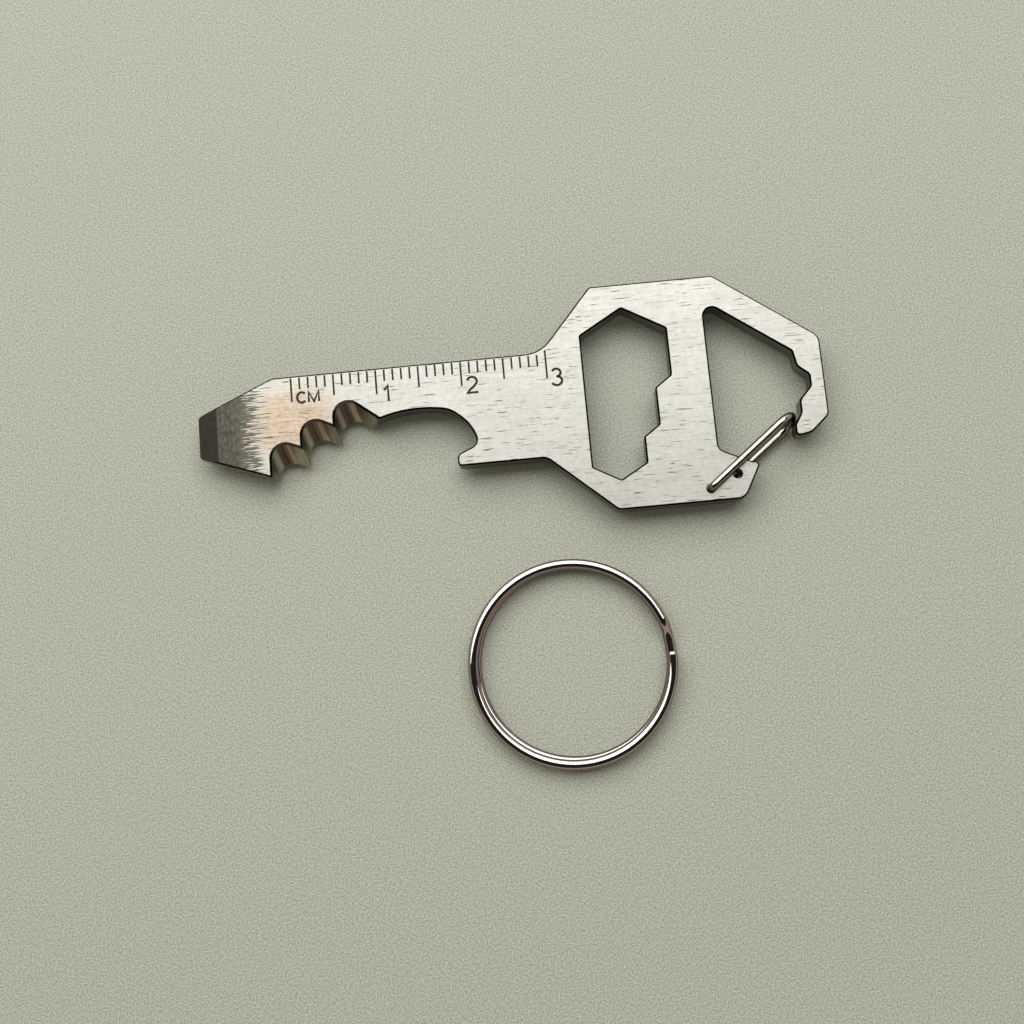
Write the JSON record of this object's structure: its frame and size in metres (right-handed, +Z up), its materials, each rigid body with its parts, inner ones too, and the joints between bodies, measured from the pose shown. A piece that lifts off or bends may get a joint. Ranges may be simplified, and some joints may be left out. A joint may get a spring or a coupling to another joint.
{
  "type": "keychain bottle opener",
  "caption": "Flat key-shaped pocket tool with a bottle-opener bay, serrated edge, screwdriver tip, ruler, nested hex opening and a carabiner head closed by a wire gate, with a split ring",
  "frame": {"origin": "on the surface that the object lies on, under the centre of the whole object's bounding box", "axes": "+X along the key from the screwdriver tip to the carabiner head, +Y across the key towards its ruler edge, +Z up"},
  "size_m": [0.0734, 0.0557, 0.0047],
  "materials": {
    "plate_steel": "brushed",
    "gate_wire": "polished",
    "ring_plating": "polished"
  },
  "bodies": {
    "plate": {"key_plate": "plate_steel"},
    "gate": {"wire_gate": "gate_wire"},
    "ring": {"split_ring": "ring_plating"}
  },
  "joints": [
    {"name": "gate_swing", "type": "hinge", "parent": "plate", "child": "gate", "pos_m": [0.02218, 0.0025, 0.00235], "axis": [0, 0, 1], "range_deg": [0, 40], "stiffness_Nm_per_rad": 0.02, "springref_deg": -11.46},
    {"name": "ring_lift", "type": "slide", "parent": "plate", "child": "ring", "axis": [0, 0, 1], "range_m": [0, 0.03]}
  ]
}
